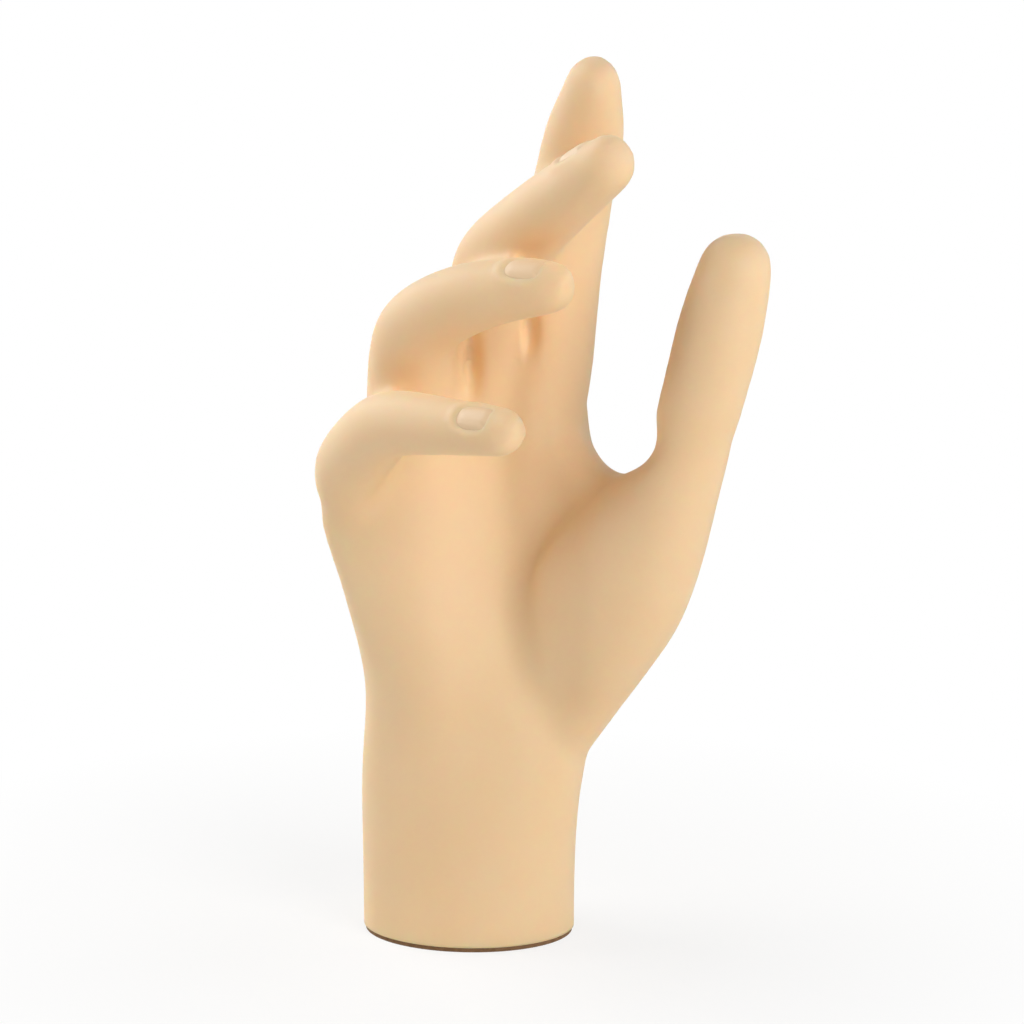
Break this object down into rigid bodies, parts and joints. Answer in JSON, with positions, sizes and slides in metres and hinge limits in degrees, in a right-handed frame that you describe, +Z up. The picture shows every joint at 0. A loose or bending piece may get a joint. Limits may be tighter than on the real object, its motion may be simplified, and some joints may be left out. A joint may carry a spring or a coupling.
{
  "type": "hand display form",
  "caption": "Right hand form standing on its cut wrist, palm forward: index finger raised, thumb apart, other fingers curled, to display small goods.",
  "frame": {"origin": "centre of the oval footprint, on the face that rests on the table", "axes": "+Z up along the forearm to the fingertips, +X towards the thumb, -Y towards the viewer, out of the palm"},
  "size_m": [0.1063, 0.0798, 0.2157],
  "materials": {
    "skin": "matt",
    "nail": "satin",
    "foam": "open cell",
    "plug": "matt",
    "steel": "turned",
    "pad": "matt"
  },
  "bodies": {
    "root": {"hand_shell": "skin", "thumb_nail": "nail", "index_nail": "nail", "middle_nail": "nail", "ring_nail": "nail", "little_nail": "nail", "foam_core": "foam", "wrist_plug": "plug", "ballast_weight": "steel", "ballast_bolt": "steel", "ballast_washer": "steel", "base_pad": "pad"}
  },
  "joints": []
}
